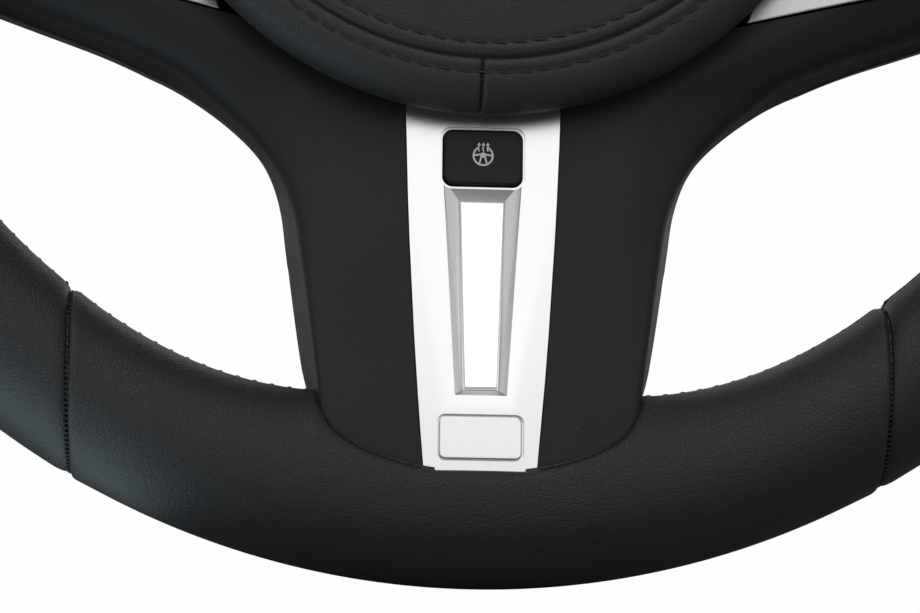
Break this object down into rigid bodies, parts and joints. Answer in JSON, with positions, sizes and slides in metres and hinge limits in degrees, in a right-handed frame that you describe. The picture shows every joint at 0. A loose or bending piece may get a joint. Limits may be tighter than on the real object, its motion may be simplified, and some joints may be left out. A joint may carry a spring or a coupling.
{
  "type": "car steering wheel",
  "caption": "Round leather-covered car steering wheel with a stitched airbag cover, a broad lower spoke with a silver plate and a heating button, and two side arms with plain keys.",
  "frame": {"origin": "centre of the steering shaft's bore, in the back face of the hub boss", "axes": "+Z towards 12 o'clock, +X to the driver's right, -Y towards the driver along the bore's axis"},
  "size_m": [0.37, 0.0677, 0.37],
  "materials": {
    "die_cast": "as cast, matte",
    "foam": "moulded foam",
    "heating_mat": "woven",
    "black_leather": "fine grain, satin",
    "soft_black_plastic": "soft matte",
    "satin_silver": "satin",
    "bright_silver": "bright satin",
    "button_black": "satin",
    "inner_plastic": "matte",
    "steel_sheet": "plain",
    "cushion_cloth": "folded woven cloth",
    "bright_steel": "zinc plated",
    "contact_brass": "bright",
    "gloss_black": "gloss",
    "board_green": "matte",
    "black_rubber": "matte"
  },
  "bodies": {
    "wheel": {"armature": "die_cast", "rim_foam": "foam", "heating_mat": "heating_mat", "leather_bottom": "black_leather", "leather_left": "black_leather", "leather_right": "black_leather", "leather_top": "black_leather", "spoke_cover": "soft_black_plastic", "trim_plate": "satin_silver", "trim_inlay": "bright_silver", "blank_pad": "satin_silver", "switch_housing": "inner_plastic", "guide_pins": "bright_steel", "horn_springs": "bright_steel", "horn_contacts": "contact_brass", "left_trim": "satin_silver", "right_trim": "satin_silver", "left_switch_panel": "gloss_black", "right_switch_panel": "gloss_black", "left_key_board": "board_green", "right_key_board": "board_green", "rear_cover": "soft_black_plastic", "cover_screws": "bright_steel", "damper_mass": "steel_sheet", "damper_bushes": "black_rubber", "socket": "inner_plastic"},
    "airbag_module": {"airbag_cover": "black_leather", "airbag_tray": "steel_sheet", "airbag_cushion": "cushion_cloth", "inflator": "steel_sheet"},
    "heating_button": {"heating_button": "button_black"},
    "left_upper_key": {"left_upper_key": "button_black"},
    "left_lower_key": {"left_lower_key": "button_black"},
    "left_round_key": {"left_round_key": "button_black"},
    "right_upper_key": {"right_upper_key": "button_black"},
    "right_lower_key": {"right_lower_key": "button_black"},
    "right_round_key": {"right_round_key": "button_black"}
  },
  "joints": [
    {"name": "horn_press", "type": "slide", "parent": "wheel", "child": "airbag_module", "axis": [0, 1, 0], "range_m": [0, 0.002], "stiffness_N_per_m": 8000, "springref_m": -0.004, "deforming": ["horn_springs"]},
    {"name": "heating_button_press", "type": "slide", "parent": "wheel", "child": "heating_button", "axis": [0, 0.9857, -0.1686], "range_m": [0, 0.001], "stiffness_N_per_m": 1500, "springref_m": -0.001},
    {"name": "left_upper_key_press", "type": "slide", "parent": "wheel", "child": "left_upper_key", "axis": [-0.1561, 0.9877, 0], "range_m": [0, 0.0008], "stiffness_N_per_m": 1500, "springref_m": -0.001},
    {"name": "left_lower_key_press", "type": "slide", "parent": "wheel", "child": "left_lower_key", "axis": [-0.1561, 0.9877, 0], "range_m": [0, 0.0008], "stiffness_N_per_m": 1500, "springref_m": -0.001},
    {"name": "left_round_key_press", "type": "slide", "parent": "wheel", "child": "left_round_key", "axis": [-0.1561, 0.9877, 0], "range_m": [0, 0.0008], "stiffness_N_per_m": 1500, "springref_m": -0.001},
    {"name": "right_upper_key_press", "type": "slide", "parent": "wheel", "child": "right_upper_key", "axis": [0.1561, 0.9877, 0], "range_m": [0, 0.0008], "stiffness_N_per_m": 1500, "springref_m": -0.001},
    {"name": "right_lower_key_press", "type": "slide", "parent": "wheel", "child": "right_lower_key", "axis": [0.1561, 0.9877, 0], "range_m": [0, 0.0008], "stiffness_N_per_m": 1500, "springref_m": -0.001},
    {"name": "right_round_key_press", "type": "slide", "parent": "wheel", "child": "right_round_key", "axis": [0.1561, 0.9877, 0], "range_m": [0, 0.0008], "stiffness_N_per_m": 1500, "springref_m": -0.001}
  ]
}
